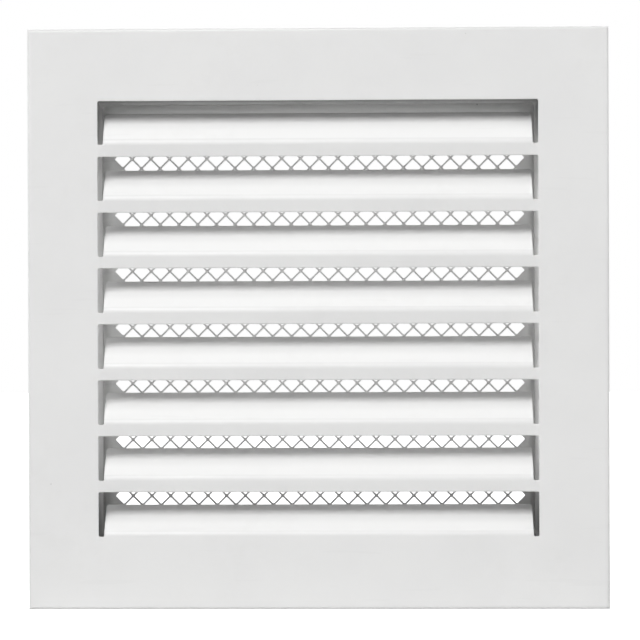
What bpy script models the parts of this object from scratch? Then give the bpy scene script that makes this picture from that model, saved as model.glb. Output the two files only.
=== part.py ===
# Screwless ventilation grille: a folded louvre plate, a sleeve behind it, a perforated screen
# that closes the sleeve, and four spring clips that hold the sleeve in its opening.
# Lengths are in metres. The face looks along -Y, +Z is up and the wall lies towards +Y.
import math

import bmesh
import bpy
from mathutils import Vector

# Face plate: one sheet, its four edges turned back to meet the wall
PLATE_SHEET = 0.0008
SIDE_MARGIN = 0.0206
TOP_MARGIN = 0.02095
BOTTOM_MARGIN = 0.02125
RIM_DEPTH = 0.0045
RIM_BEND_RADIUS = 0.0012

# Louvres: each is cut on three sides in the sheet and bent back about its lower edge
LOUVRE_COUNT = 8
LOUVRE_PITCH = 0.0164
SLOT_WIDTH = 0.1288
SLOT_HEIGHT = 0.0130
SLOT_CORNER_RADIUS = 0.0003
RELIEF_WIDTH = 0.0016
RELIEF_DROP = 0.0003
LOUVRE_ANGLE = math.radians(45.0)
LOUVRE_LENGTH = 0.01075
LOUVRE_BEND_RADIUS = 0.0018
LOUVRE_CORNER_RADIUS = 0.0008

# Sleeve: a folded strip with flanges against the plate and a lip behind the screen
SLEEVE_SHEET = 0.0006
SLEEVE_SIDE_ROOM = 0.0004
SLEEVE_HEADROOM = 0.0003
SLEEVE_SHIFT = -0.0001
SLEEVE_CORNER_RADIUS = 0.0009
SLEEVE_BEND_RADIUS = 0.0006
FLANGE_WIDTH = 0.009
LIP_WIDTH = 0.0026
LIP_MITRE_GAP = 0.0004
SEAM_LAP = 0.012
SEAM_INSET = 0.003

# Screen: a perforated sheet, its square holes standing on their corners
SCREEN_SHEET = 0.0006
SCREEN_SETBACK = 0.025
SCREEN_EDGE_GAP = 0.0004
SCREEN_MARGIN = 0.0018
SCREEN_SHIFT = 0.0002
SCREEN_PITCH = 0.01568
SCREEN_STRAND = 0.0014

# Spring clips: leaf springs on the outside of the sleeve's side walls
CLIP_WIDTH = 0.010
CLIP_SHEET = 0.0004
CLIP_SPACING = 0.070
CLIP_ARM = 0.0075
CLIP_TIP = 0.003
CLIP_ARM_ANGLE = math.radians(20.0)
CLIP_TIP_ANGLE = math.radians(55.0)
CLIP_BEND_RADIUS = 0.0015
CLIP_FRONT_GAP = 0.001
CLIP_BACK_INSET = 0.002

# Pieces that touch on the real grille stand this far apart
SEAT_GAP = 0.0003

BEND_STEPS = 5
CORNER_STEPS = 3
SAME_PLACE = 1e-6

# Places that follow from the sizes above, measured from the face plate's front
LOUVRE_WIDTH = SLOT_WIDTH - 2 * RELIEF_WIDTH
SLOTS_HEIGHT = (LOUVRE_COUNT - 1) * LOUVRE_PITCH + SLOT_HEIGHT
PLATE_WIDTH = SLOT_WIDTH + 2 * SIDE_MARGIN
PLATE_HEIGHT = TOP_MARGIN + SLOTS_HEIGHT + BOTTOM_MARGIN
SLOTS_CENTRE = (BOTTOM_MARGIN - TOP_MARGIN) / 2
SLEEVE_WIDTH = SLOT_WIDTH + 2 * SLEEVE_SIDE_ROOM
SLEEVE_HEIGHT = SLOTS_HEIGHT + 2 * SLEEVE_HEADROOM
SLEEVE_CENTRE = (SLEEVE_SHIFT, SLOTS_CENTRE)
FLANGE_FRONT = PLATE_SHEET + SEAT_GAP
LIP_FRONT = SCREEN_SETBACK + SCREEN_SHEET + SEAT_GAP
OVERALL_DEPTH = LIP_FRONT + SLEEVE_SHEET


def clear_objects():
    for item in list(bpy.data.objects):
        bpy.data.objects.remove(item, do_unlink=True)


def make_material(name, colour, metallic, roughness):
    material = bpy.data.materials.new(name)
    material.use_nodes = True
    shader = material.node_tree.nodes["Principled BSDF"]
    shader.inputs["Base Color"].default_value = (*colour, 1.0)
    shader.inputs["Metallic"].default_value = metallic
    shader.inputs["Roughness"].default_value = roughness
    return material


def make_object(name, bm, material, parent):
    mesh = bpy.data.meshes.new(name)
    bm.to_mesh(mesh)
    bm.free()
    mesh.shade_smooth()
    mesh.set_sharp_from_angle(angle=math.radians(30.0))
    if material:
        mesh.materials.append(material)
    item = bpy.data.objects.new(name, mesh)
    bpy.context.scene.collection.objects.link(item)
    item.parent = parent
    return item


def give_thickness(item, thickness):
    # The modelled skin is the side its normals point to, and the sheet lies behind it.
    solidify = item.modifiers.new("sheet", "SOLIDIFY")
    solidify.thickness = thickness
    solidify.offset = -1.0
    solidify.use_even_offset = True
    solidify.use_quality_normals = True


def turn_skin(bm, towards):
    # Makes the skin's normals agree, with the faces that lie square to the given way turned to it.
    bmesh.ops.recalc_face_normals(bm, faces=bm.faces)
    square = max(bm.faces, key=lambda face: abs(face.normal.dot(towards)))
    if square.normal.dot(towards) < 0:
        bmesh.ops.reverse_faces(bm, faces=bm.faces)


def corner_arc(before, corner, after, radius):
    # An arc that touches both sides of a square corner.
    here = Vector(corner)
    back = (Vector(before) - here).normalized()
    ahead = (Vector(after) - here).normalized()
    centre = here + (back + ahead) * radius
    arc = []
    for step in range(CORNER_STEPS + 1):
        turn = math.pi / 2 * step / CORNER_STEPS
        arc.append(centre - radius * (ahead * math.cos(turn) + back * math.sin(turn)))
    return arc


def rectangle(width, height, centre):
    left, right = centre[0] - width / 2, centre[0] + width / 2
    low, high = centre[1] - height / 2, centre[1] + height / 2
    return [(left, low), (right, low), (right, high), (left, high)]


def rounded_rectangle(width, height, centre, radius):
    corners = rectangle(width, height, centre)
    outline = []
    for index, corner in enumerate(corners):
        outline += corner_arc(corners[index - 1], corner, corners[(index + 1) % len(corners)], radius)
    return outline


def flat_sheet(bm, outer, holes, y):
    # Fills the area between the outer outline and the holes, in the plane at depth y.
    edges = []
    for outline in [outer, *holes]:
        verts = [bm.verts.new((x, y, z)) for x, z in outline]
        for start, end in zip(verts, verts[1:] + verts[:1]):
            edges.append(bm.edges.new((start, end)))
    bmesh.ops.triangle_fill(bm, use_beauty=True, edges=edges, normal=(0.0, -1.0, 0.0))
    return edges


def extend_edge(bm, edge, run):
    # Runs the sheet straight on from an edge and returns the new edge.
    grown = bmesh.ops.extrude_edge_only(bm, edges=[edge])["geom"]
    ends = [item for item in grown if isinstance(item, bmesh.types.BMVert)]
    bmesh.ops.translate(bm, verts=ends, vec=run)
    return bm.edges.get(ends)


def bend_and_extend(bm, edge, centre, axis, angle, run):
    # Bends the sheet on from an edge about an axis, then runs it straight.
    turned = bmesh.ops.spin(
        bm, geom=[edge, *edge.verts], cent=centre, axis=axis, angle=angle, steps=BEND_STEPS
    )
    last = next(item for item in turned["geom_last"] if isinstance(item, bmesh.types.BMEdge))
    return extend_edge(bm, last, run)


def slot_bottoms():
    first = SLOTS_CENTRE + SLOTS_HEIGHT / 2 - SLOT_HEIGHT
    return [first - index * LOUVRE_PITCH for index in range(LOUVRE_COUNT)]


def slot_outline(bottom):
    # A slot with a relief cut at each end of the louvre. Each cut curves up into the hinge line.
    top = bottom + SLOT_HEIGHT
    end = SLOT_WIDTH / 2
    louvre = LOUVRE_WIDTH / 2
    left = [
        *corner_arc((0.0, top), (-end, top), (-end, bottom), SLOT_CORNER_RADIUS),
        *corner_arc((-end, top), (-end, bottom), (-louvre, bottom), SLOT_CORNER_RADIUS),
        *corner_arc((-end, bottom), (-louvre, bottom), (-louvre, top), RELIEF_DROP),
    ]
    right = [Vector((-x, z)) for x, z in reversed(left)]
    return left + right


def build_face_plate(material, parent):
    bm = bmesh.new()
    flat_width = PLATE_WIDTH - 2 * RIM_BEND_RADIUS
    flat_height = PLATE_HEIGHT - 2 * RIM_BEND_RADIUS
    slots = [slot_outline(bottom) for bottom in slot_bottoms()]
    edges = flat_sheet(bm, rectangle(flat_width, flat_height, (0.0, 0.0)), slots, 0.0)
    turn_rim(bm, edges[:4])
    bend_louvres(bm)
    turn_skin(bm, Vector((0.0, -1.0, 0.0)))
    plate = make_object("face_plate", bm, material, parent)
    give_thickness(plate, PLATE_SHEET)
    return plate


def turn_rim(bm, border):
    # Four bends that meet in mitred corners, then the straight return to the wall.
    inset_and_depth = []
    for step in range(1, BEND_STEPS + 1):
        turn = math.pi / 2 * step / BEND_STEPS
        inset = RIM_BEND_RADIUS * (1 - math.sin(turn))
        inset_and_depth.append((inset, RIM_BEND_RADIUS * (1 - math.cos(turn))))
    inset_and_depth.append((0.0, RIM_DEPTH))
    for inset, depth in inset_and_depth:
        grown = bmesh.ops.extrude_edge_only(bm, edges=border)["geom"]
        verts = [item for item in grown if isinstance(item, bmesh.types.BMVert)]
        border = [
            item for item in grown if isinstance(item, bmesh.types.BMEdge) and set(item.verts) <= set(verts)
        ]
        for vert in verts:
            vert.co.x = math.copysign(PLATE_WIDTH / 2 - inset, vert.co.x)
            vert.co.z = math.copysign(PLATE_HEIGHT / 2 - inset, vert.co.z)
            vert.co.y = depth


def is_hinge(edge):
    # The only edges that run from one end of a louvre to the other are the hinge lines.
    return all(abs(abs(vert.co.x) - LOUVRE_WIDTH / 2) < SAME_PLACE for vert in edge.verts)


def bend_louvres(bm):
    hinges = [edge for edge in bm.edges if is_hinge(edge)]
    run = Vector((0.0, math.sin(LOUVRE_ANGLE), math.cos(LOUVRE_ANGLE))) * LOUVRE_LENGTH
    tips = []
    for hinge in hinges:
        height = hinge.verts[0].co.z
        centre = (0.0, LOUVRE_BEND_RADIUS, height)
        tip = bend_and_extend(bm, hinge, centre, (1.0, 0.0, 0.0), -LOUVRE_ANGLE, run)
        tips += tip.verts
    bmesh.ops.bevel(
        bm,
        geom=tips,
        offset=LOUVRE_CORNER_RADIUS,
        offset_type="OFFSET",
        segments=CORNER_STEPS,
        profile=0.5,
        affect="VERTICES",
        material=-1,
    )


def build_sleeve(material, parent):
    # The skin is the side that the air sees. Flanges, walls and lip are one bent strip.
    bm = bmesh.new()
    front = FLANGE_FRONT + SLEEVE_SHEET + SLEEVE_BEND_RADIUS
    back = LIP_FRONT - SLEEVE_BEND_RADIUS
    ring = rounded_rectangle(SLEEVE_WIDTH, SLEEVE_HEIGHT, SLEEVE_CENTRE, SLEEVE_CORNER_RADIUS)
    verts = [bm.verts.new((x, front, z)) for x, z in ring]
    edges = [bm.edges.new((start, end)) for start, end in zip(verts, verts[1:] + verts[:1])]
    grown = bmesh.ops.extrude_edge_only(bm, edges=edges)["geom"]
    ends = [item for item in grown if isinstance(item, bmesh.types.BMVert)]
    bmesh.ops.translate(bm, verts=ends, vec=(0.0, back - front, 0.0))
    # Only the walls' straight edges are bent. The corners between them are left open.
    straight = [edge for edge in bm.edges if edge.is_boundary and edge.calc_length() > SLEEVE_CORNER_RADIUS]
    for edge in straight:
        middle = (edge.verts[0].co + edge.verts[1].co) / 2
        outwards = Vector((middle.x - SLEEVE_SHIFT, 0.0, middle.z - SLOTS_CENTRE)).normalized()
        if middle.y < (front + back) / 2:
            turn_flange(bm, edge, middle, outwards)
        else:
            turn_lip(bm, edge, middle, outwards)
    turn_skin(bm, Vector((0.0, -1.0, 0.0)))
    sleeve = make_object("sleeve", bm, material, parent)
    give_thickness(sleeve, SLEEVE_SHEET)
    lap = sleeve.modifiers.new("seam lap", "BOOLEAN")
    lap.operation = "UNION"
    lap.solver = "EXACT"
    lap.object = build_seam_lap(front, back, parent)


def build_seam_lap(front, back, parent):
    # The strip's end laps over its start on the top wall, where it is spot welded.
    bm = bmesh.new()
    bmesh.ops.create_cube(bm, size=1.0)
    sunk = SLEEVE_SHEET / 2
    bmesh.ops.scale(bm, vec=(SEAM_LAP, back - front, SLEEVE_SHEET + sunk), verts=bm.verts)
    lap = make_object("seam_lap", bm, None, parent)
    x = SLEEVE_SHIFT + SLEEVE_WIDTH / 2 - SEAM_INSET - SEAM_LAP / 2
    z = SLOTS_CENTRE + SLEEVE_HEIGHT / 2 + SLEEVE_SHEET + (SLEEVE_SHEET - sunk) / 2
    lap.location = (x, (front + back) / 2, z)
    lap.hide_render = True
    lap.display_type = "WIRE"
    return lap


def turn_flange(bm, edge, middle, outwards):
    # Turns the front edge of a wall outwards, flat behind the face plate.
    radius = SLEEVE_SHEET + SLEEVE_BEND_RADIUS
    axis = outwards.cross(Vector((0.0, 1.0, 0.0)))
    run = outwards * (FLANGE_WIDTH - radius)
    bend_and_extend(bm, edge, middle + outwards * radius, axis, math.pi / 2, run)


def turn_lip(bm, edge, middle, outwards):
    # Turns the back edge of a wall inwards. Its ends are mitred to clear the next lip.
    radius = SLEEVE_BEND_RADIUS
    axis = outwards.cross(Vector((0.0, 1.0, 0.0)))
    run = -outwards * (LIP_WIDTH - radius)
    tip = bend_and_extend(bm, edge, middle - outwards * radius, axis, math.pi / 2, run)
    for vert in tip.verts:
        along = (vert.co - middle) - outwards * (vert.co - middle).dot(outwards)
        along.y = 0.0
        vert.co -= along.normalized() * (LIP_WIDTH + LIP_MITRE_GAP)


def hole_outline(x, z, half_diagonal):
    return [(x, z - half_diagonal), (x + half_diagonal, z), (x, z + half_diagonal), (x - half_diagonal, z)]


def holes_across(length):
    # As many holes as leave the solid margin at both ends.
    return math.floor((length - 2 * SCREEN_MARGIN + SCREEN_STRAND * math.sqrt(2)) / SCREEN_PITCH)


def build_screen(material, parent):
    # Two lattices of holes, the second set between the holes of the first.
    bm = bmesh.new()
    width = SLEEVE_WIDTH - 2 * SCREEN_EDGE_GAP
    height = SLEEVE_HEIGHT - 2 * SCREEN_EDGE_GAP
    columns = holes_across(width)
    rows = holes_across(height)
    half_diagonal = SCREEN_PITCH / 2 - SCREEN_STRAND / math.sqrt(2)
    holes = []
    for x_count, z_count in ((columns, rows), (columns - 1, rows - 1)):
        first_x = SCREEN_SHIFT - (x_count - 1) / 2 * SCREEN_PITCH
        first_z = SLOTS_CENTRE - (z_count - 1) / 2 * SCREEN_PITCH
        for row in range(z_count):
            for column in range(x_count):
                x = first_x + column * SCREEN_PITCH
                holes.append(hole_outline(x, first_z + row * SCREEN_PITCH, half_diagonal))
    outer = rounded_rectangle(width, height, SLEEVE_CENTRE, SLEEVE_CORNER_RADIUS)
    flat_sheet(bm, outer, holes, SCREEN_SETBACK)
    turn_skin(bm, Vector((0.0, -1.0, 0.0)))
    screen = make_object("screen", bm, material, parent)
    give_thickness(screen, SCREEN_SHEET)
    return screen


def build_clip_mesh():
    # A leaf spring for the right-hand wall: foot at the back, arm out and forwards, tip turned in.
    # The foot fills what the arm and the tip leave of the sleeve's depth behind the rim.
    bm = bmesh.new()
    after = CLIP_ARM_ANGLE - CLIP_TIP_ANGLE
    arm_run = Vector((math.sin(CLIP_ARM_ANGLE), -math.cos(CLIP_ARM_ANGLE), 0.0)) * CLIP_ARM
    tip_run = Vector((math.sin(after), -math.cos(after), 0.0)) * CLIP_TIP
    bends_depth = CLIP_BEND_RADIUS * (2 * math.sin(CLIP_ARM_ANGLE) - math.sin(after))
    foot_front = RIM_DEPTH + CLIP_FRONT_GAP + bends_depth - arm_run.y - tip_run.y
    foot_back = OVERALL_DEPTH - CLIP_BACK_INSET
    low = bm.verts.new((0.0, foot_back, -CLIP_WIDTH / 2))
    high = bm.verts.new((0.0, foot_back, CLIP_WIDTH / 2))
    foot_end = extend_edge(bm, bm.edges.new((low, high)), (0.0, foot_front - foot_back, 0.0))
    centre = Vector((CLIP_BEND_RADIUS, foot_front, 0.0))
    arm_end = bend_and_extend(bm, foot_end, centre, (0.0, 0.0, 1.0), CLIP_ARM_ANGLE, arm_run)
    inwards = Vector((-math.cos(CLIP_ARM_ANGLE), -math.sin(CLIP_ARM_ANGLE), 0.0))
    middle = (arm_end.verts[0].co + arm_end.verts[1].co) / 2
    centre = middle + inwards * CLIP_BEND_RADIUS
    bend_and_extend(bm, arm_end, centre, (0.0, 0.0, -1.0), CLIP_TIP_ANGLE, tip_run)
    return bm


def build_clips(material, parent):
    wall = SLEEVE_WIDTH / 2 + SLEEVE_SHEET + SEAT_GAP
    for side, hand in (("right", 1.0), ("left", -1.0)):
        for level, z in (("upper", CLIP_SPACING / 2), ("lower", -CLIP_SPACING / 2)):
            bm = build_clip_mesh()
            bmesh.ops.scale(bm, vec=(hand, 1.0, 1.0), verts=bm.verts)
            turn_skin(bm, Vector((-hand, 0.0, 0.0)))
            clip = make_object(f"clip_{side}_{level}", bm, material, parent)
            give_thickness(clip, CLIP_SHEET)
            clip.location = (SLEEVE_SHIFT + hand * wall, 0.0, SLOTS_CENTRE + z)


def build_grille():
    clear_objects()
    paint = make_material("white_powder_coat", (0.80, 0.80, 0.79), 0.0, 0.38)
    inner_paint = make_material("white_inner_coat", (0.74, 0.74, 0.73), 0.0, 0.5)
    spring_steel = make_material("spring_steel", (0.55, 0.55, 0.56), 1.0, 0.35)
    # The grille's frame has its origin at the middle of the whole part.
    centre = bpy.data.objects.new("grille_centre", None)
    bpy.context.scene.collection.objects.link(centre)
    centre.location = (0.0, -OVERALL_DEPTH / 2, 0.0)
    build_face_plate(paint, centre)
    build_sleeve(inner_paint, centre)
    build_screen(inner_paint, centre)
    build_clips(spring_steel, centre)
    bpy.context.view_layer.update()


build_grille()
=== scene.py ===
import math

import bmesh
import bpy
from mathutils import Matrix, Vector


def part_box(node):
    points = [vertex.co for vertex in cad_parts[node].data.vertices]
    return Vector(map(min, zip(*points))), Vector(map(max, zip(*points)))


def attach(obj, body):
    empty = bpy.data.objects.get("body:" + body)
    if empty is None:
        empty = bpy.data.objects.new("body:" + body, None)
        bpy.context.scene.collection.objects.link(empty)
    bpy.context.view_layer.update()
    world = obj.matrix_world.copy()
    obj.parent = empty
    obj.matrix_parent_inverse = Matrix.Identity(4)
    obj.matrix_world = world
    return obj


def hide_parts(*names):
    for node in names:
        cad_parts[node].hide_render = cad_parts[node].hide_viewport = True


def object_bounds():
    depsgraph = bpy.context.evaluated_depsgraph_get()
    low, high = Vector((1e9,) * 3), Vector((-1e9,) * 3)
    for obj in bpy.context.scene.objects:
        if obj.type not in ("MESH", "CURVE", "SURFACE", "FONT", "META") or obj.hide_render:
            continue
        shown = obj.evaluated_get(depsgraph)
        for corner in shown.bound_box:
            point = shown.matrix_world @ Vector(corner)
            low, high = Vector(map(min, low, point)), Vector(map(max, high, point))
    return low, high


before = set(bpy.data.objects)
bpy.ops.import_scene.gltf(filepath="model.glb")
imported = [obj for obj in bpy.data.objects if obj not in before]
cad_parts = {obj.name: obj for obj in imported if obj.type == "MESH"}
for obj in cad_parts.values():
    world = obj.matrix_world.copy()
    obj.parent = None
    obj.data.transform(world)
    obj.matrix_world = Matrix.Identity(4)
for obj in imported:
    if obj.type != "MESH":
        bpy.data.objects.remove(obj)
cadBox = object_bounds()
scene = bpy.context.scene

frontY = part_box("face_plate")[0].y       # the plate's front
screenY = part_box("screen")[0].y          # the screen's front
tiny = 1e-6                              # closer than this, two places are the same


# Helpers that every piece and material uses

def addMath(tree, operation, first, second=None):
    node = tree.nodes.new("ShaderNodeMath")
    node.operation = operation
    for index, value in enumerate((first, second)):
        if isinstance(value, bpy.types.NodeSocket):
            tree.links.new(value, node.inputs[index])
        elif value is not None:
            node.inputs[index].default_value = value
    return node.outputs[0]


def finishPiece(name, bm, material, node):
    mesh = bpy.data.meshes.new(name)
    bm.to_mesh(mesh)
    bm.free()
    mesh.shade_smooth()
    mesh.materials.append(material)
    piece = bpy.data.objects.new(name, mesh)
    scene.collection.objects.link(piece)
    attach(piece, "root")
    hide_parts(node)
    return piece


shearedEdge = {"steps": 2, "sharpFrom": 50.0}


def addSheet(piece, thickness, softEdge):
    # gives the skin its thickness, then takes the sharpness off the sheared edges
    solid = piece.modifiers.new("sheet", "SOLIDIFY")
    solid.thickness = thickness
    solid.offset = -1.0
    solid.use_even_offset = True
    solid.use_quality_normals = True
    edge = piece.modifiers.new("sheared edge", "BEVEL")
    edge.width = softEdge
    edge.segments = shearedEdge["steps"]
    edge.limit_method = "ANGLE"
    edge.angle_limit = math.radians(shearedEdge["sharpFrom"])
    edge.use_clamp_overlap = True
    even = piece.modifiers.new("even shading", "WEIGHTED_NORMAL")
    even.keep_sharp = True
    even.weight = 100


def unitFace(bm, place):
    # one face with sides of 1 before the matrix places it
    return bmesh.ops.create_grid(bm, x_segments=1, y_segments=1, size=0.5, matrix=place)["verts"]


def uprightFace(bm, width, height, centre):
    # one upright face square to the view, its normal towards the front
    place = Matrix.Translation(centre) @ Matrix.Rotation(math.radians(90), 4, "X")
    verts = unitFace(bm, place @ Matrix.Diagonal((width, height, 1, 1)))
    return verts[0].link_faces[0]


def roundCorners(bm, corners, radius, segments):
    bmesh.ops.bevel(bm, geom=corners, offset=radius, offset_type="OFFSET", segments=segments, profile=0.5,
                    affect="VERTICES", material=-1)


def stretchOn(bm, edges, run):
    # runs the sheet straight on from some edges
    grown = bmesh.ops.extrude_edge_only(bm, edges=edges)["geom"]
    verts = [item for item in grown if isinstance(item, bmesh.types.BMVert)]
    bmesh.ops.translate(bm, verts=verts, vec=run)
    return [item for item in grown if isinstance(item, bmesh.types.BMEdge) and all(v in verts for v in item.verts)]


def bendOn(bm, edges, centre, axis, angle, steps, run):
    # bends the sheet on from some edges, then runs it straight
    ends = {vert for edge in edges for vert in edge.verts}
    turned = bmesh.ops.spin(bm, geom=[*edges, *ends], cent=centre, axis=axis, angle=angle, steps=steps)
    last = [item for item in turned["geom_last"] if isinstance(item, bmesh.types.BMEdge)]
    return stretchOn(bm, last, run)


def openEnds(edges):
    # the two verts at the ends of a chain of edges
    verts = [vert for edge in edges for vert in edge.verts]
    return [vert for vert in verts if verts.count(vert) == 1]


def turnSkin(bm, towards):
    # makes the normals agree, with the widest face square to the given way turned to it
    bmesh.ops.recalc_face_normals(bm, faces=bm.faces)
    widest = max(bm.faces, key=lambda face: abs(face.normal.dot(towards)) * face.calc_area())
    if widest.normal.dot(towards) < 0:
        bmesh.ops.reverse_faces(bm, faces=bm.faces)


# Camera, at the photograph's angle

cameraView = {
    "place": (0.0101, -0.8230, 0.0038),
    "turn": (89.872, 0.192, 1.407),      # degrees
    "lens": 155.9,
    "shift": (0.0556, -0.0128),
    "nearest": 0.01,
}

camera = bpy.data.objects.new("camera", bpy.data.cameras.new("camera"))
camera.location = cameraView["place"]
camera.rotation_euler = [math.radians(angle) for angle in cameraView["turn"]]
camera.data.lens = cameraView["lens"]
camera.data.shift_x, camera.data.shift_y = cameraView["shift"]
camera.data.clip_start = cameraView["nearest"]
scene.collection.objects.link(camera)
scene.camera = camera
print("camera placed")


# Light: a soft key lamp from the upper left, weak ones from the right, behind, both sides and above,
# and a pale surround

lamps = {
    # azimuth from the front and elevation in degrees, side of the square, power in watts
    "keyLamp": (-19, 45.5, 1.1, 71.5),
    "fillLamp": (60, 18, 1.6, 8.5),
    "backLamp": (180, 8, 2.0, 36.0),
    "leftLamp": (-112, 15, 1.6, 16.0),
    "rightLamp": (112, 15, 1.6, 16.0),
    "topLamp": (0, 75, 1.6, 6.5),
}
studio = {
    "lampDistance": 3.0, "surround": 0.012, "floorReach": 2.0, "floorGap": 0.0002,
    "floorColour": (0.85, 0.85, 0.85), "floorRoughness": 0.9, "floorGlow": 0.85,
}


def addLamp(name, azimuth, elevation, size, power):
    light = bpy.data.lights.new(name, "AREA")
    light.shape = "SQUARE"
    light.size = size
    light.energy = power
    lamp = bpy.data.objects.new(name, light)
    turn = math.radians(azimuth)
    rise = math.radians(elevation)
    away = Vector((math.sin(turn) * math.cos(rise), -math.cos(turn) * math.cos(rise), math.sin(rise)))
    lamp.location = away * studio["lampDistance"]
    lamp.rotation_euler = away.to_track_quat("Z", "Y").to_euler()
    scene.collection.objects.link(lamp)


def addSeenByViewer(tree):
    # 1 where the camera looks straight at it, or sees it in gloss or through glass
    path = tree.nodes.new("ShaderNodeLightPath")
    either = addMath(tree, "MAXIMUM", path.outputs["Is Camera Ray"], path.outputs["Is Glossy Ray"])
    return addMath(tree, "MAXIMUM", either, path.outputs["Is Transmission Ray"])


def addSurround():
    world = bpy.data.worlds.new("paleSurround")
    world.use_nodes = True
    tree = world.node_tree
    background = tree.nodes["Background"]
    background.inputs["Color"].default_value = (1, 1, 1, 1)
    strength = tree.nodes.new("ShaderNodeMapRange")
    strength.inputs["To Min"].default_value = studio["surround"]
    strength.inputs["To Max"].default_value = 1.0
    tree.links.new(addSeenByViewer(tree), strength.inputs["Value"])
    tree.links.new(strength.outputs["Result"], background.inputs["Strength"])
    scene.world = world


def addFloor():
    bm = bmesh.new()
    bmesh.ops.create_grid(bm, x_segments=1, y_segments=1, size=studio["floorReach"])
    bmesh.ops.translate(bm, verts=bm.verts, vec=(0, 0, cadBox[0][2] - studio["floorGap"]))
    mesh = bpy.data.meshes.new("floor")
    bm.to_mesh(mesh)
    bm.free()
    floor = bpy.data.objects.new("floor", mesh)
    scene.collection.objects.link(floor)
    material = bpy.data.materials.new("paleFloor")
    material.use_nodes = True
    tree = material.node_tree
    shader = tree.nodes["Principled BSDF"]
    shader.inputs["Base Color"].default_value = (*studio["floorColour"], 1)
    shader.inputs["Roughness"].default_value = studio["floorRoughness"]
    shader.inputs["Specular IOR Level"].default_value = 0.0
    shader.inputs["Emission Color"].default_value = (1, 1, 1, 1)
    glow = addMath(tree, "MULTIPLY", addSeenByViewer(tree), studio["floorGlow"])
    tree.links.new(glow, shader.inputs["Emission Strength"])
    mesh.materials.append(material)


for name, values in lamps.items():
    addLamp(name, *values)
addSurround()
addFloor()
scene.view_settings.view_transform = "Standard"
print("lamps, surround and floor placed")


# Surface effects that several materials share, as node groups

surface = {
    # scales are in cells per metre, and a pair is where a mask's slope starts and ends
    "peelScale": 900.0, "peelGrain": 0.25, "peelFiner": 3.7,
    "filmScale": 24.0, "film": (0.42, 0.72), "fineFilmScale": 260.0, "fineFilm": (0.35, 0.7),
    "speckScale": 230.0, "speckSize": (0.03, 0.065), "speckRarity": 0.955,
    "wearEdge": (0.80, 0.985), "wearSamples": 6, "wearScale": 480.0, "wear": (0.38, 0.66),
    "scratchTurns": ((0.6, 0.0), (-0.9, 3.1)), "scratchStretch": (40, 40, 620), "scratch": (0.735, 0.765),
    "brushStretch": (40, 40, 2200), "brush": (0.3, 0.7),
    "weldRadius": 0.0018, "dent": (0.7, 1.05), "ringInside": (0.75, 1.0), "ringOutside": (1.05, 1.5),
}


def startGroup(name, inputs, outputs):
    group = bpy.data.node_groups.new(name, "ShaderNodeTree")
    for label, kind, value in inputs:
        socket = group.interface.new_socket(label, in_out="INPUT", socket_type=kind)
        if value is not None:
            socket.default_value = value
    for label, kind in outputs:
        group.interface.new_socket(label, in_out="OUTPUT", socket_type=kind)
    return group, group.nodes.new("NodeGroupInput"), group.nodes.new("NodeGroupOutput")


def addNoise(tree, vector, scale, detail, roughness=0.5):
    node = tree.nodes.new("ShaderNodeTexNoise")
    node.inputs["Detail"].default_value = detail
    node.inputs["Roughness"].default_value = roughness
    tree.links.new(vector, node.inputs["Vector"])
    if isinstance(scale, bpy.types.NodeSocket):
        tree.links.new(scale, node.inputs["Scale"])
    else:
        node.inputs["Scale"].default_value = scale
    return node.outputs["Fac"]


def addRange(tree, value, low, high, toLow=0.0, toHigh=1.0):
    node = tree.nodes.new("ShaderNodeMapRange")
    node.interpolation_type = "SMOOTHSTEP"
    tree.links.new(value, node.inputs["Value"])
    for label, number in (("From Min", low), ("From Max", high), ("To Min", toLow), ("To Max", toHigh)):
        node.inputs[label].default_value = number
    return node.outputs["Result"]


def buildOrangePeel():
    # the fine rolling surface that powder coat cures to
    group, start, end = startGroup("orangePeel", [
        ("Vector", "NodeSocketVector", None), ("Scale", "NodeSocketFloat", surface["peelScale"]),
        ("Grain", "NodeSocketFloat", surface["peelGrain"]),
    ], [("Height", "NodeSocketFloat")])
    rolling = addNoise(group, start.outputs["Vector"], start.outputs["Scale"], detail=1.0)
    finer = addMath(group, "MULTIPLY", start.outputs["Scale"], surface["peelFiner"])
    grain = addNoise(group, start.outputs["Vector"], finer, detail=2.0)
    height = addMath(group, "ADD", rolling, addMath(group, "MULTIPLY", grain, start.outputs["Grain"]))
    group.links.new(height, end.inputs["Height"])
    return group


def buildDust():
    # a thin uneven film with a few specks caught in the coat
    group, start, end = startGroup("dustAndSpecks", [
        ("Vector", "NodeSocketVector", None), ("Film", "NodeSocketFloat", None), ("Specks", "NodeSocketFloat", None),
    ], [("Film Mask", "NodeSocketFloat"), ("Speck Mask", "NodeSocketFloat")])
    vector = start.outputs["Vector"]
    broad = addNoise(group, vector, surface["filmScale"], detail=4.0, roughness=0.6)
    fine = addNoise(group, vector, surface["fineFilmScale"], detail=3.0, roughness=0.6)
    patches = addRange(group, broad, *surface["film"])
    film = addMath(group, "MULTIPLY", patches, addRange(group, fine, *surface["fineFilm"]))
    cells = group.nodes.new("ShaderNodeTexVoronoi")
    cells.inputs["Scale"].default_value = surface["speckScale"]
    group.links.new(vector, cells.inputs["Vector"])
    chosen = group.nodes.new("ShaderNodeSeparateColor")
    group.links.new(cells.outputs["Color"], chosen.inputs[0])
    near = addRange(group, cells.outputs["Distance"], *surface["speckSize"], 1.0, 0.0)
    rare = addMath(group, "GREATER_THAN", chosen.outputs[0], surface["speckRarity"])
    group.links.new(addMath(group, "MULTIPLY", film, start.outputs["Film"]), end.inputs["Film Mask"])
    speck = addMath(group, "MULTIPLY", near, rare)
    group.links.new(addMath(group, "MULTIPLY", speck, start.outputs["Specks"]), end.inputs["Speck Mask"])
    return group


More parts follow.
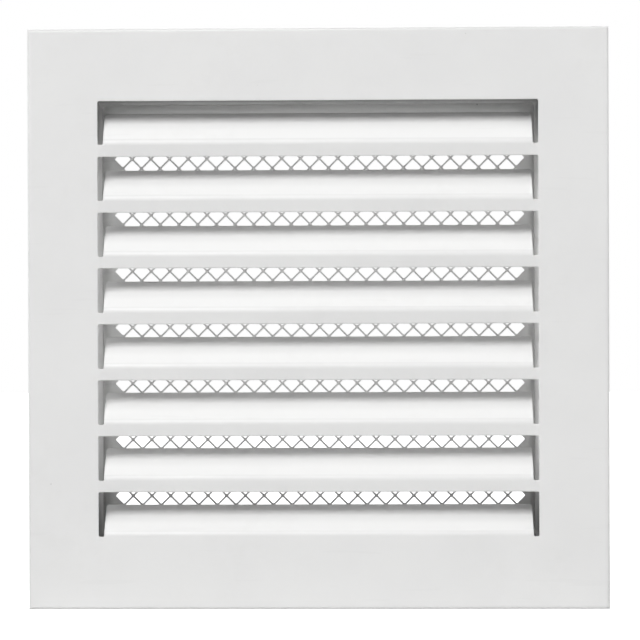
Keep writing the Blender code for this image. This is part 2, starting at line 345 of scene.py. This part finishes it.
def buildEdgeWear():
    # 1 on convex edges, broken up by noise, and the normal of an edge rounded off
    group, start, end = startGroup("edgeWear", [
        ("Vector", "NodeSocketVector", None), ("Width", "NodeSocketFloat", None), ("Amount", "NodeSocketFloat", None),
    ], [("Mask", "NodeSocketFloat"), ("Rounded", "NodeSocketVector")])
    rounded = group.nodes.new("ShaderNodeBevel")
    rounded.samples = surface["wearSamples"]
    group.links.new(start.outputs["Width"], rounded.inputs["Radius"])
    flat = group.nodes.new("ShaderNodeNewGeometry")
    turned = group.nodes.new("ShaderNodeVectorMath")
    turned.operation = "DOT_PRODUCT"
    group.links.new(rounded.outputs["Normal"], turned.inputs[0])
    group.links.new(flat.outputs["Normal"], turned.inputs[1])
    edge = addRange(group, turned.outputs["Value"], *surface["wearEdge"], 1.0, 0.0)
    noise = addNoise(group, start.outputs["Vector"], surface["wearScale"], detail=3.0, roughness=0.7)
    broken = addMath(group, "MULTIPLY", edge, addRange(group, noise, *surface["wear"]))
    mask = addMath(group, "MULTIPLY", broken, start.outputs["Amount"])
    group.links.new(mask, end.inputs["Mask"])
    group.links.new(rounded.outputs["Normal"], end.inputs["Rounded"])
    return group


def buildFineScratches():
    # short hairlines in two directions, drawn out of noise
    group, start, end = startGroup("fineScratches", [
        ("Vector", "NodeSocketVector", None), ("Amount", "NodeSocketFloat", None),
    ], [("Mask", "NodeSocketFloat")])
    found = []
    for turn, seed in surface["scratchTurns"]:
        mapping = group.nodes.new("ShaderNodeMapping")
        mapping.inputs["Rotation"].default_value = (0, turn, 0)
        mapping.inputs["Location"].default_value = (seed, 0, seed)
        mapping.inputs["Scale"].default_value = surface["scratchStretch"]
        group.links.new(start.outputs["Vector"], mapping.inputs["Vector"])
        lines = addNoise(group, mapping.outputs["Vector"], scale=1.0, detail=1.0, roughness=0.4)
        found.append(addRange(group, lines, *surface["scratch"]))
    either = addMath(group, "MAXIMUM", found[0], found[1])
    group.links.new(addMath(group, "MULTIPLY", either, start.outputs["Amount"]), end.inputs["Mask"])
    return group


def buildBrushedLines():
    # the rolling lines of strip steel
    group, start, end = startGroup("brushedLines", [
        ("Vector", "NodeSocketVector", None), ("Stretch", "NodeSocketVector", surface["brushStretch"]),
    ], [("Height", "NodeSocketFloat"), ("Tone", "NodeSocketFloat")])
    mapping = group.nodes.new("ShaderNodeMapping")
    group.links.new(start.outputs["Vector"], mapping.inputs["Vector"])
    group.links.new(start.outputs["Stretch"], mapping.inputs["Scale"])
    lines = addNoise(group, mapping.outputs["Vector"], scale=1.0, detail=4.0, roughness=0.65)
    group.links.new(lines, end.inputs["Height"])
    group.links.new(addRange(group, lines, *surface["brush"]), end.inputs["Tone"])
    return group


def buildSpotWelds():
    # a row of round electrode dents: Across is the distance from the row's line, Along runs with it
    group, start, end = startGroup("spotWelds", [
        ("Across", "NodeSocketFloat", None), ("Along", "NodeSocketFloat", None),
        ("Spacing", "NodeSocketFloat", None), ("Radius", "NodeSocketFloat", surface["weldRadius"]),
    ], [("Dent", "NodeSocketFloat"), ("Ring", "NodeSocketFloat")])
    half = addMath(group, "MULTIPLY", start.outputs["Spacing"], 0.5)
    within = addMath(group, "FLOORED_MODULO", start.outputs["Along"], start.outputs["Spacing"])
    along = addMath(group, "SUBTRACT", within, half)
    acrossSquared = addMath(group, "POWER", start.outputs["Across"], 2.0)
    squares = addMath(group, "ADD", addMath(group, "POWER", along, 2.0), acrossSquared)
    away = addMath(group, "DIVIDE", addMath(group, "SQRT", squares), start.outputs["Radius"])
    group.links.new(addRange(group, away, *surface["dent"], 1.0, 0.0), end.inputs["Dent"])
    inside = addRange(group, away, *surface["ringInside"])
    outside = addRange(group, away, *surface["ringOutside"], 1.0, 0.0)
    group.links.new(addMath(group, "MULTIPLY", inside, outside), end.inputs["Ring"])
    return group


effects = {
    "orangePeel": buildOrangePeel(),
    "dust": buildDust(),
    "edgeWear": buildEdgeWear(),
    "scratches": buildFineScratches(),
    "brushedLines": buildBrushedLines(),
    "spotWelds": buildSpotWelds(),
}
print("surface effects built")


# Materials

def useEffect(tree, effect, vector, **values):
    node = tree.nodes.new("ShaderNodeGroup")
    node.node_tree = effects[effect]
    tree.links.new(vector, node.inputs["Vector"])
    for label, value in values.items():
        node.inputs[label].default_value = value
    return node


def mixColour(tree, factor, first, second):
    # inputs 6 and 7 and output 2 are this node's colour sockets
    node = tree.nodes.new("ShaderNodeMix")
    node.data_type = "RGBA"
    tree.links.new(factor, node.inputs["Factor"])
    for index, value in ((6, first), (7, second)):
        if isinstance(value, bpy.types.NodeSocket):
            tree.links.new(value, node.inputs[index])
        else:
            node.inputs[index].default_value = (*value, 1)
    return node.outputs[2]


def addBump(tree, shader, height, strength, distance, normal=None):
    bump = tree.nodes.new("ShaderNodeBump")
    if normal:
        tree.links.new(normal, bump.inputs["Normal"])
    bump.inputs["Strength"].default_value = strength
    bump.inputs["Distance"].default_value = distance
    tree.links.new(height, bump.inputs["Height"])
    tree.links.new(bump.outputs["Normal"], shader.inputs["Normal"])


coats = {
    "faceCoat": {
        "colour": (0.81, 0.81, 0.805), "deeper": (0.79, 0.79, 0.787),
        "dust": (0.66, 0.65, 0.63), "worn": (0.62, 0.62, 0.61),
        "roughness": 0.34, "peel": 0.10, "film": 0.10, "specks": 0.4, "wear": 0.25, "edge": 0.0005, "scratch": 0.06,
        # painted light: the lower half of the louvres is drawn lighter than the face
        "louvre": (0.90, 0.90, 0.895),
    },
    "innerCoat": {
        "colour": (0.78, 0.78, 0.775), "deeper": (0.75, 0.75, 0.745),
        "dust": (0.58, 0.57, 0.55), "worn": (0.5, 0.5, 0.49),
        "roughness": 0.45, "peel": 0.16, "film": 0.25, "specks": 0.7, "wear": 0.4, "edge": 0.0001, "scratch": 0.1,
        # below: scorch is the weld rings; then painted light on the screen and walls inside, and painted shade,
        # near-black, at the top and bottom inside
        "scorch": (0.66, 0.65, 0.64), "paintedLight": (0.86, 0.86, 0.855), "paintedShade": (0.18, 0.18, 0.178), "shadeRougher": 0.4,
    },
}
powder = {
    # what both coats share
    "ior": 1.5, "gloss": 0.3, "speckColour": (0.32, 0.31, 0.30),
    "cloudScale": 30.0, "cloud": (0.35, 0.68), "cloudRougher": 0.05, "filmRougher": 0.3,
    "speckHeight": 1.5, "weldDepth": 12.0, "bumpDepth": 0.00012,
}
# painted light and painted shade inside the sleeve, in place of the light that falls there
insideLightAndShade = {
    # depths are behind the plate's front, or before the screen's
    "wallGap": 0.0004, "wallFade": (0.0003, 0.0005),
    "behindPlate": (0.0017, 0.0021), "deepest": 0.003, "beforeScreen": (0.0004, 0.0001), "byScreen": 0.45,
    "shadeFrom": 0.035, "shadeAt": 0.067, "uneven": 0.006, "unevenScale": 90.0,
}
# where the painted light on the louvres starts and ends
louvreLight = {"behindFace": (0.0005, 0.0009), "beforeTip": (0.0024, 0.0050), "reach": (0.068, 0.070)}
weldRows = {
    "flangeDepths": (0.0021, 0.0025), "flangeInset": 0.004, "flangeSpacing": 0.035,
    "lapDepths": (0.0025, 0.003), "lapBelowFlange": (0.0084, 0.0082), "lapInset": 0.0086, "lapSpacing": 0.0075,
}


def splitPlace(tree, place):
    parts = tree.nodes.new("ShaderNodeSeparateXYZ")
    tree.links.new(place, parts.inputs[0])
    return parts.outputs


def addInsideLightAndShade(tree, place):
    # Inside the sleeve the coat is painted lighter on the screen and half way up, as painted light,
    # and painted near-black at the top and bottom, most near the face, as painted shade.
    low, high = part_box("screen")
    x, y, z = splitPlace(tree, place)
    gaps = []
    for across, least, most in ((x, low.x, high.x), (z, low.z, high.z)):
        away = addMath(tree, "ABSOLUTE", addMath(tree, "SUBTRACT", across, (least + most) / 2))
        gaps.append(addMath(tree, "SUBTRACT", away, (most - least) / 2 + insideLightAndShade["wallGap"]))
    within = addRange(tree, addMath(tree, "MAXIMUM", *gaps), *insideLightAndShade["wallFade"], 1.0, 0.0)
    near, far = insideLightAndShade["behindPlate"]
    inside = addMath(tree, "MULTIPLY", within, addRange(tree, y, frontY + near, frontY + far))
    uneven = addMath(tree, "MULTIPLY", addNoise(tree, place, insideLightAndShade["unevenScale"], detail=3.0), insideLightAndShade["uneven"])
    height = addMath(tree, "ADD", addMath(tree, "ABSOLUTE", z), uneven)
    nearFace = addRange(tree, y, frontY + insideLightAndShade["deepest"], screenY, 1.0, insideLightAndShade["byScreen"])
    near, far = insideLightAndShade["beforeScreen"]
    beforeScreen = addRange(tree, y, screenY - near, screenY - far, 1.0, 0.0)
    paintedShade = addMath(tree, "MULTIPLY", addRange(tree, height, insideLightAndShade["shadeFrom"], insideLightAndShade["shadeAt"]), nearFace)
    return inside, addMath(tree, "MULTIPLY", paintedShade, beforeScreen)


def addPaintedLouvreLight(tree, place):
    # 1 on the lower half of the louvres, where the coat is painted lighter than on the face: painted light
    x, y, z = splitPlace(tree, place)
    off = addMath(tree, "MAXIMUM", addMath(tree, "ABSOLUTE", x), addMath(tree, "ABSOLUTE", z))
    near, far = louvreLight["behindFace"]
    behindFace = addRange(tree, y, frontY + near, frontY + far)
    near, far = louvreLight["beforeTip"]
    beforeTip = addRange(tree, y, frontY + near, frontY + far, 1.0, 0.0)
    within = addRange(tree, off, *louvreLight["reach"], 1.0, 0.0)
    return addMath(tree, "MULTIPLY", addMath(tree, "MULTIPLY", within, behindFace), beforeTip)


def addWelds(tree, place):
    # Spot welds that the coat covers: rows along the flanges behind the face plate, and one on the sleeve's lap.
    # Each dent has a faint ring, where the steel was hot.
    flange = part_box("sleeve")
    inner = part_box("screen")
    x, y, z = splitPlace(tree, place)
    near, far = weldRows["flangeDepths"]
    atFlange = addRange(tree, y, frontY + near, frontY + far, 1.0, 0.0)
    low, high = weldRows["lapBelowFlange"]
    above = addRange(tree, z, flange[1].z - low, flange[1].z - high)
    near, far = weldRows["lapDepths"]
    onLap = addMath(tree, "MULTIPLY", above, addRange(tree, y, frontY + near, frontY + far))
    rows = []
    for across, along, low, high in ((x, z, flange[0].x, flange[1].x), (z, x, flange[0].z, flange[1].z)):
        off = addMath(tree, "ABSOLUTE", addMath(tree, "SUBTRACT", across, (low + high) / 2))
        fromRow = addMath(tree, "SUBTRACT", off, (high - low) / 2 - weldRows["flangeInset"])
        rows.append((fromRow, along, weldRows["flangeSpacing"], atFlange))
    fromRow = addMath(tree, "SUBTRACT", x, inner[1].x - weldRows["lapInset"])
    rows.append((fromRow, y, weldRows["lapSpacing"], onLap))
    dents, rings = [], []
    for across, along, spacing, where in rows:
        node = tree.nodes.new("ShaderNodeGroup")
        node.node_tree = effects["spotWelds"]
        node.inputs["Spacing"].default_value = spacing
        tree.links.new(across, node.inputs["Across"])
        tree.links.new(along, node.inputs["Along"])
        dents.append(addMath(tree, "MULTIPLY", node.outputs["Dent"], where))
        rings.append(addMath(tree, "MULTIPLY", node.outputs["Ring"], where))
    dent = addMath(tree, "MAXIMUM", addMath(tree, "MAXIMUM", dents[0], dents[1]), dents[2])
    return dent, addMath(tree, "MAXIMUM", addMath(tree, "MAXIMUM", rings[0], rings[1]), rings[2])


def makeCoat(name):
    look = coats[name]
    material = bpy.data.materials.new(name)
    material.use_nodes = True
    tree = material.node_tree
    shader = tree.nodes["Principled BSDF"]
    shader.inputs["IOR"].default_value = powder["ior"]
    shader.inputs["Specular IOR Level"].default_value = powder["gloss"]
    place = tree.nodes.new("ShaderNodeTexCoord").outputs["Object"]
    dust = useEffect(tree, "dust", place, Film=look["film"], Specks=look["specks"])
    wear = useEffect(tree, "edgeWear", place, Amount=look["wear"], Width=look["edge"])
    scratches = useEffect(tree, "scratches", place, Amount=look["scratch"])
    peel = useEffect(tree, "orangePeel", place)
    cloudy = addRange(tree, addNoise(tree, place, powder["cloudScale"], detail=3.0), *powder["cloud"])
    colour = mixColour(tree, cloudy, look["colour"], look["deeper"])
    # painted light: a lighter colour on the lower half of the louvres
    if "louvre" in look:
        colour = mixColour(tree, addPaintedLouvreLight(tree, place), colour, look["louvre"])
    if "paintedShade" in look:
        dent, ring = addWelds(tree, place)
        colour = mixColour(tree, ring, colour, look["scorch"])
        # painted light on the screen and walls inside, painted shade at the top and bottom inside
        inside, paintedShade = addInsideLightAndShade(tree, place)
        colour = mixColour(tree, inside, colour, mixColour(tree, paintedShade, look["paintedLight"], look["paintedShade"]))
    colour = mixColour(tree, dust.outputs["Film Mask"], colour, look["dust"])
    colour = mixColour(tree, scratches.outputs["Mask"], colour, look["worn"])
    colour = mixColour(tree, wear.outputs["Mask"], colour, look["worn"])
    colour = mixColour(tree, dust.outputs["Speck Mask"], colour, powder["speckColour"])
    tree.links.new(colour, shader.inputs["Base Color"])
    rough = addRange(tree, cloudy, 0, 1, look["roughness"], look["roughness"] + powder["cloudRougher"])
    rough = addMath(tree, "ADD", rough, addMath(tree, "MULTIPLY", dust.outputs["Film Mask"], powder["filmRougher"]))
    raised = addMath(tree, "MULTIPLY", dust.outputs["Speck Mask"], powder["speckHeight"])
    raised = addMath(tree, "ADD", peel.outputs["Height"], raised)
    raised = addMath(tree, "SUBTRACT", raised, scratches.outputs["Mask"])
    if "paintedShade" in look:
        # more roughness where the shade is painted
        paintedShadeArea = addMath(tree, "MULTIPLY", inside, paintedShade)
        rough = addMath(tree, "ADD", rough, addMath(tree, "MULTIPLY", paintedShadeArea, look["shadeRougher"]))
        raised = addMath(tree, "SUBTRACT", raised, addMath(tree, "MULTIPLY", dent, powder["weldDepth"]))
    tree.links.new(rough, shader.inputs["Roughness"])
    addBump(tree, shader, raised, look["peel"], powder["bumpDepth"], wear.outputs["Rounded"])
    return material


steelLook = {
    "light": (0.62, 0.62, 0.63), "dark": (0.43, 0.43, 0.44), "stain": (0.34, 0.31, 0.28), "film": 0.5, "specks": 0.6,
    "roughness": 0.30, "darkRougher": 0.14, "filmRougher": 0.3, "lines": 0.25, "lineDepth": 0.00003,
}


def makeSpringSteel():
    material = bpy.data.materials.new("springSteel")
    material.use_nodes = True
    tree = material.node_tree
    shader = tree.nodes["Principled BSDF"]
    shader.inputs["Metallic"].default_value = 1.0
    place = tree.nodes.new("ShaderNodeTexCoord").outputs["Object"]
    brushed = useEffect(tree, "brushedLines", place)
    dust = useEffect(tree, "dust", place, Film=steelLook["film"], Specks=steelLook["specks"])
    colour = mixColour(tree, brushed.outputs["Tone"], steelLook["dark"], steelLook["light"])
    colour = mixColour(tree, dust.outputs["Film Mask"], colour, steelLook["stain"])
    tree.links.new(colour, shader.inputs["Base Color"])
    darkest = steelLook["roughness"] + steelLook["darkRougher"]
    rough = addRange(tree, brushed.outputs["Tone"], 0, 1, darkest, steelLook["roughness"])
    film = addMath(tree, "MULTIPLY", dust.outputs["Film Mask"], steelLook["filmRougher"])
    tree.links.new(addMath(tree, "ADD", rough, film), shader.inputs["Roughness"])
    addBump(tree, shader, brushed.outputs["Height"], steelLook["lines"], steelLook["lineDepth"])
    return material


faceCoat = makeCoat("faceCoat")
innerCoat = makeCoat("innerCoat")
springSteel = makeSpringSteel()
print("materials made")


# Face plate: flat sheet with eight slots, a folded rim and eight louvres bent back

plate = {
    "sheet": 0.0008, "size": 0.170, "softEdge": 0.0001,
    "rimDepth": 0.0045, "rimRadius": 0.0012, "rimBand": 0.002, "rimSteps": 8,
    "slots": 8, "pitch": 0.0164, "topMargin": 0.02095, "slotWidth": 0.1288, "slotHeight": 0.0130,
    "cornerRadius": 0.00042, "cornerSteps": 4, "relief": 0.0016, "hingeBelow": 0.00016, "leanFade": 0.004,
    "louvreLength": 0.01029, "bendRadius": 0.0029, "bendSteps": 12, "louvreCorner": 0.0008, "louvreCornerSteps": 5,
    # from the top slot to the bottom one
    "edgeDrops": (0.00024, 0.00016, 0.00011, 0.0, 0.0, 0.0, -0.00002, -0.00005),
    "barLeans": (0.0, 0.0005, 0.0004, 0.00036, 0.00034, 0.00034, 0.00032, 0.00034),
    "louvreAngles": (38.5, 45.0, 45.0, 44.7, 44.9, 45.0, 45.0, 48.3),
    "louvresShorter": (0.00037, 0.0, 0.0, 0.0, 0.0, 0.0, 0.0, 0.0),
}
louvreEnd = plate["slotWidth"] / 2 - plate["relief"]
topSlotLow = plate["size"] / 2 - plate["topMargin"] - plate["slotHeight"]
slotLows = [topSlotLow - row * plate["pitch"] for row in range(plate["slots"])]


def addSlot(bm, low, drop, lean):
    # The outline of one slot. Relief cuts part the louvre's ends from the sheet down to where its bend starts.
    # Punching has pushed the edge over the slot down and back a little, so that each bar faces slightly down.
    end = plate["slotWidth"] / 2
    high = low + plate["slotHeight"] - drop
    hinge = low - plate["hingeBelow"]
    back = frontY + lean
    radius = plate["cornerRadius"]
    fillet = [(louvreEnd + radius * (1 - math.cos(turn)), frontY, low + radius * (1 - math.sin(turn)))
              for turn in (0, math.pi / 6, math.pi / 3, math.pi / 2)]
    right = [(louvreEnd, frontY, hinge), *fillet, (end, frontY, low), (end, frontY, high),
             (end - plate["leanFade"], back, high)]
    left = [(-x, y, z) for x, y, z in reversed(right)]
    slot = bm.faces.new([bm.verts.new(place) for place in right + left])
    roundCorners(bm, [vert for vert in slot.verts if abs(vert.co.x) > end - tiny], radius, plate["cornerSteps"])


def addRim(bm, band):
    # a flat band, the return to the wall, then the bend between them
    half = plate["size"] / 2
    outer = stretchOn(bm, band, (0, 0, 0))
    for vert in {vert for edge in outer for vert in edge.verts}:
        vert.co.x = math.copysign(half, vert.co.x)
        vert.co.z = math.copysign(half, vert.co.z)
    stretchOn(bm, outer, (0, plate["rimDepth"], 0))
    bmesh.ops.bevel(bm, geom=outer, offset=plate["rimRadius"], offset_type="OFFSET", segments=plate["rimSteps"],
                    profile=0.5, affect="EDGES", material=-1)


def bendLouvres(bm):
    # the top louvre came out a little steeper and shorter than the rest, and the bottom one a little flatter
    tips = []
    for low, bent, shorter in zip(slotLows, plate["louvreAngles"], plate["louvresShorter"]):
        angle = math.radians(bent)
        run = Vector((0, math.sin(angle), math.cos(angle))) * (plate["louvreLength"] - shorter)
        height = low - plate["hingeBelow"]
        level = [edge for edge in bm.edges if all(abs(vert.co.z - height) < tiny for vert in edge.verts)]
        hinge = [edge for edge in level if edge.calc_length() > louvreEnd]
        centre = (0, frontY + plate["bendRadius"], height)
        tips += openEnds(bendOn(bm, hinge, centre, (1, 0, 0), -angle, plate["bendSteps"], run))
    roundCorners(bm, tips, plate["louvreCorner"], plate["louvreCornerSteps"])


def buildFacePlate():
    bm = bmesh.new()
    inner = plate["size"] - 2 * plate["rimBand"]
    sheet = uprightFace(bm, inner, inner, (0, frontY, 0))
    band = sheet.edges[:]
    for low, drop, lean in zip(slotLows, plate["edgeDrops"], plate["barLeans"]):
        addSlot(bm, low, drop, lean)
    bmesh.ops.delete(bm, geom=bm.faces[:], context="FACES_ONLY")
    bmesh.ops.triangle_fill(bm, use_beauty=True, edges=bm.edges[:], normal=(0, -1, 0))
    addRim(bm, band)
    bendLouvres(bm)
    turnSkin(bm, Vector((0, -1, 0)))
    piece = finishPiece("facePlate", bm, faceCoat, "face_plate")
    addSheet(piece, plate["sheet"], plate["softEdge"])


buildFacePlate()
print("face plate built")


# Screen: square holes standing on their corners, 22 rows with 21 rows between them, in a solid margin

screen = {
    "sheet": 0.0006, "width": 0.12975, "height": 0.12835, "centre": (-0.0002, 0.00015),
    "cornerRadius": 0.00088, "cornerSteps": 4, "sharpAngle": 40.0,
    "pitch": 0.00564, "across": 22, "shift": 0.0002, "strand": 0.0005, "holeCorner": 0.0003, "holeCornerSteps": 2,
}


def buildScreen():
    bm = bmesh.new()
    sheetX, sheetZ = screen["centre"]
    centre = Vector((screen["shift"], screenY, sheetZ))
    cells = screen["across"] * 2 + 1
    side = screen["pitch"] / math.sqrt(2)
    upright = Matrix.Translation(centre) @ Matrix.Rotation(math.radians(90), 4, "X")
    onCorner = Matrix.Rotation(math.radians(45), 4, "Z")
    bmesh.ops.create_grid(bm, x_segments=cells, y_segments=cells, size=side * cells / 2, matrix=upright @ onCorner)
    reach = (screen["across"] - 0.5) * screen["pitch"] / 2
    outside = []
    for face in bm.faces:
        away = face.calc_center_median() - centre
        if max(abs(away.x), abs(away.z)) > reach:
            outside.append(face)
    bmesh.ops.delete(bm, geom=outside, context="FACES")
    holes = bm.faces[:]
    bmesh.ops.inset_individual(bm, faces=holes, thickness=screen["strand"] / 2, use_even_offset=True)
    corners = [vert for face in holes for vert in face.verts]
    roundCorners(bm, corners, screen["holeCorner"], screen["holeCornerSteps"])
    rim = [edge for edge in bm.edges if edge.is_boundary]
    sidesOfHole = 4 + 4 * screen["holeCornerSteps"]
    holes = [face for face in bm.faces if len(face.verts) == sidesOfHole]
    print("screen has", len(holes), "holes")
    bmesh.ops.delete(bm, geom=holes, context="FACES_ONLY")
    sheet = uprightFace(bm, screen["width"], screen["height"], (sheetX, screenY, sheetZ))
    roundCorners(bm, sheet.verts[:], screen["cornerRadius"], screen["cornerSteps"])
    sheet = max(bm.faces, key=lambda face: face.calc_area())
    outline = sheet.edges[:]
    bmesh.ops.delete(bm, geom=[sheet], context="FACES_ONLY")
    bmesh.ops.triangle_fill(bm, use_beauty=True, edges=rim + outline, normal=(0, -1, 0))
    turnSkin(bm, Vector((0, -1, 0)))
    piece = finishPiece("perforatedScreen", bm, innerCoat, "screen")
    solid = piece.modifiers.new("sheet", "SOLIDIFY")
    solid.thickness = screen["sheet"]
    solid.offset = -1.0
    piece.data.set_sharp_from_angle(angle=math.radians(screen["sharpAngle"]))


buildScreen()
print("screen built")


# Sleeve: one folded strip with flanges behind the plate, a lip behind the screen and a lapped seam on top

sleeve = {
    "sheet": 0.0006, "insideWidth": 0.1298, "insideHeight": 0.1284, "centre": (-0.0002, 0.00015), "softEdge": 0.00008,
    "cornerRadius": 0.0009, "cornerSteps": 5, "bendRadius": 0.0006, "bendSteps": 8,
    "flange": 0.009, "flangeCorner": 0.0012, "flangeCornerSteps": 4, "lip": 0.0026, "mitreGap": 0.0004,
    "lapWidth": 0.012, "lapInset": 0.003, "lapCorner": 0.0006, "lapCornerSteps": 4,
}
sleeveFront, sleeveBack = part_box("sleeve")[0].y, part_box("sleeve")[1].y
wallFront = sleeveFront + sleeve["sheet"] + sleeve["bendRadius"]     # where the walls' flat starts and ends
wallBack = sleeveBack - sleeve["sheet"] - sleeve["bendRadius"]


def bendFlangeAndLip(bm, edge):
    middle = (edge.verts[0].co + edge.verts[1].co) / 2
    outwards = Vector((middle.x - sleeve["centre"][0], 0, middle.z - sleeve["centre"][1])).normalized()
    axis = outwards.cross(Vector((0, 1, 0)))
    if middle.y < (wallFront + wallBack) / 2:
        radius = sleeve["sheet"] + sleeve["bendRadius"]
        run = outwards * (sleeve["flange"] - radius)
        tip = bendOn(bm, [edge], middle + outwards * radius, axis, math.pi / 2, sleeve["bendSteps"], run)
        roundCorners(bm, openEnds(tip), sleeve["flangeCorner"], sleeve["flangeCornerSteps"])
        return
    radius = sleeve["bendRadius"]
    run = -outwards * (sleeve["lip"] - radius)
    tip = bendOn(bm, [edge], middle - outwards * radius, axis, math.pi / 2, sleeve["bendSteps"], run)
    for vert in openEnds(tip):
        along = vert.co - middle
        along -= outwards * along.dot(outwards)
        along.y = 0
        vert.co -= along.normalized() * (sleeve["lip"] + sleeve["mitreGap"])


def buildSleeve():
    bm = bmesh.new()
    x, z = sleeve["centre"]
    opening = uprightFace(bm, sleeve["insideWidth"], sleeve["insideHeight"], (x, wallFront, z))
    roundCorners(bm, opening.verts[:], sleeve["cornerRadius"], sleeve["cornerSteps"])
    bmesh.ops.delete(bm, geom=bm.faces[:], context="FACES_ONLY")
    stretchOn(bm, bm.edges[:], (0, wallBack - wallFront, 0))
    for edge in [edge for edge in bm.edges if edge.is_boundary and edge.calc_length() > sleeve["cornerRadius"]]:
        bendFlangeAndLip(bm, edge)
    turnSkin(bm, Vector((0, -1, 0)))
    piece = finishPiece("sleeve_folded", bm, innerCoat, "sleeve")
    addSheet(piece, sleeve["sheet"], sleeve["softEdge"])


def buildSeamLap():
    bm = bmesh.new()
    x = sleeve["centre"][0] + sleeve["insideWidth"] / 2 - sleeve["lapInset"] - sleeve["lapWidth"] / 2
    z = sleeve["centre"][1] + sleeve["insideHeight"] / 2 + 2 * sleeve["sheet"]
    place = Matrix.Translation((x, (wallFront + wallBack) / 2, z))
    verts = unitFace(bm, place @ Matrix.Diagonal((sleeve["lapWidth"], wallBack - wallFront, 1, 1)))
    roundCorners(bm, verts, sleeve["lapCorner"], sleeve["lapCornerSteps"])
    turnSkin(bm, Vector((0, 0, 1)))
    piece = finishPiece("seamLap", bm, innerCoat, "sleeve")
    addSheet(piece, sleeve["sheet"], sleeve["softEdge"])


buildSleeve()
buildSeamLap()
print("sleeve built")


# Spring clips: leaf springs with their foot on the sleeve's side wall

clip = {
    "sheet": 0.0004, "width": 0.010, "foot": 0.00761, "arm": 0.0075, "tip": 0.003, "softEdge": 0.00006,
    "armAngle": 20.0, "armSteps": 8, "tipAngle": 55.0, "tipSteps": 12, "bendRadius": 0.0015,
    "footCorner": 0.001, "footCornerSteps": 5, "tipCorner": 0.0022, "tipCornerSteps": 6,
}


def buildClip(side, level):
    node = "clip_" + side + "_" + level
    low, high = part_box(node)
    hand = 1 if side == "right" else -1
    wall = low.x if hand > 0 else high.x
    middle = (low.z + high.z) / 2
    arm = math.radians(clip["armAngle"])
    tipTurn = math.radians(clip["tipAngle"])
    bm = bmesh.new()
    verts = [bm.verts.new((0, high.y, z)) for z in (-clip["width"] / 2, clip["width"] / 2)]
    foot = stretchOn(bm, [bm.edges.new(verts)], (0, -clip["foot"], 0))
    centre = Vector((clip["bendRadius"], high.y - clip["foot"], 0))
    armRun = Vector((math.sin(arm), -math.cos(arm), 0)) * clip["arm"]
    armEnd = bendOn(bm, foot, centre, (0, 0, 1), arm, clip["armSteps"], armRun)
    inwards = Vector((-math.cos(arm), -math.sin(arm), 0))
    centre = (armEnd[0].verts[0].co + armEnd[0].verts[1].co) / 2 + inwards * clip["bendRadius"]
    tipRun = Vector((math.sin(arm - tipTurn), -math.cos(arm - tipTurn), 0)) * clip["tip"]
    tip = bendOn(bm, armEnd, centre, (0, 0, -1), tipTurn, clip["tipSteps"], tipRun)
    roundCorners(bm, verts, clip["footCorner"], clip["footCornerSteps"])
    roundCorners(bm, openEnds(tip), clip["tipCorner"], clip["tipCornerSteps"])
    bmesh.ops.scale(bm, vec=(hand, 1, 1), verts=bm.verts)
    bmesh.ops.translate(bm, vec=(wall, 0, middle), verts=bm.verts)
    turnSkin(bm, Vector((-hand, 0, 0)))
    piece = finishPiece("springClip_" + side + "_" + level, bm, springSteel, node)
    addSheet(piece, clip["sheet"], clip["softEdge"])


for side in ("left", "right"):
    for level in ("upper", "lower"):
        buildClip(side, level)
print("clips built")
